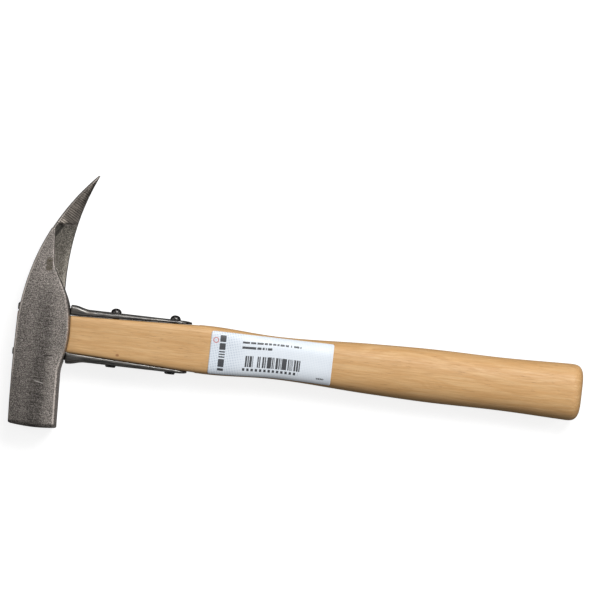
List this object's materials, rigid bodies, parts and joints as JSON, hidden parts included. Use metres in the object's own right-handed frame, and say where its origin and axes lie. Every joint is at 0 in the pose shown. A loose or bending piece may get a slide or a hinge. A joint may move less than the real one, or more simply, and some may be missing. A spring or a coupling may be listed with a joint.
{
  "type": "carpenter's formwork hammer",
  "caption": "Pick-and-claw hammer with a square poll, a hickory handle tied on by riveted steel straps and a paper label on the handle.",
  "frame": {"origin": "on the flat cheek that the hammer lies on, under the middle of the head's eye", "axes": "+X along the handle from the head to the butt, +Y from the striking face to the pick, +Z from the resting cheek to the side with the short claw and the label"},
  "size_m": [0.3359, 0.1519, 0.028],
  "materials": {
    "head_steel": "satin",
    "hickory": "satin",
    "strap_steel": "satin",
    "rivet_steel": "satin",
    "wedge_wood": "matte",
    "wedge_steel": "satin",
    "label_paper": "satin"
  },
  "bodies": {
    "root": {"head": "head_steel", "handle": "hickory", "upper_strap": "strap_steel", "lower_strap": "strap_steel", "front_rivet": "rivet_steel", "rear_rivet": "rivet_steel", "wooden_wedge": "wedge_wood", "steel_wedge": "wedge_steel", "label": "label_paper"}
  },
  "joints": []
}
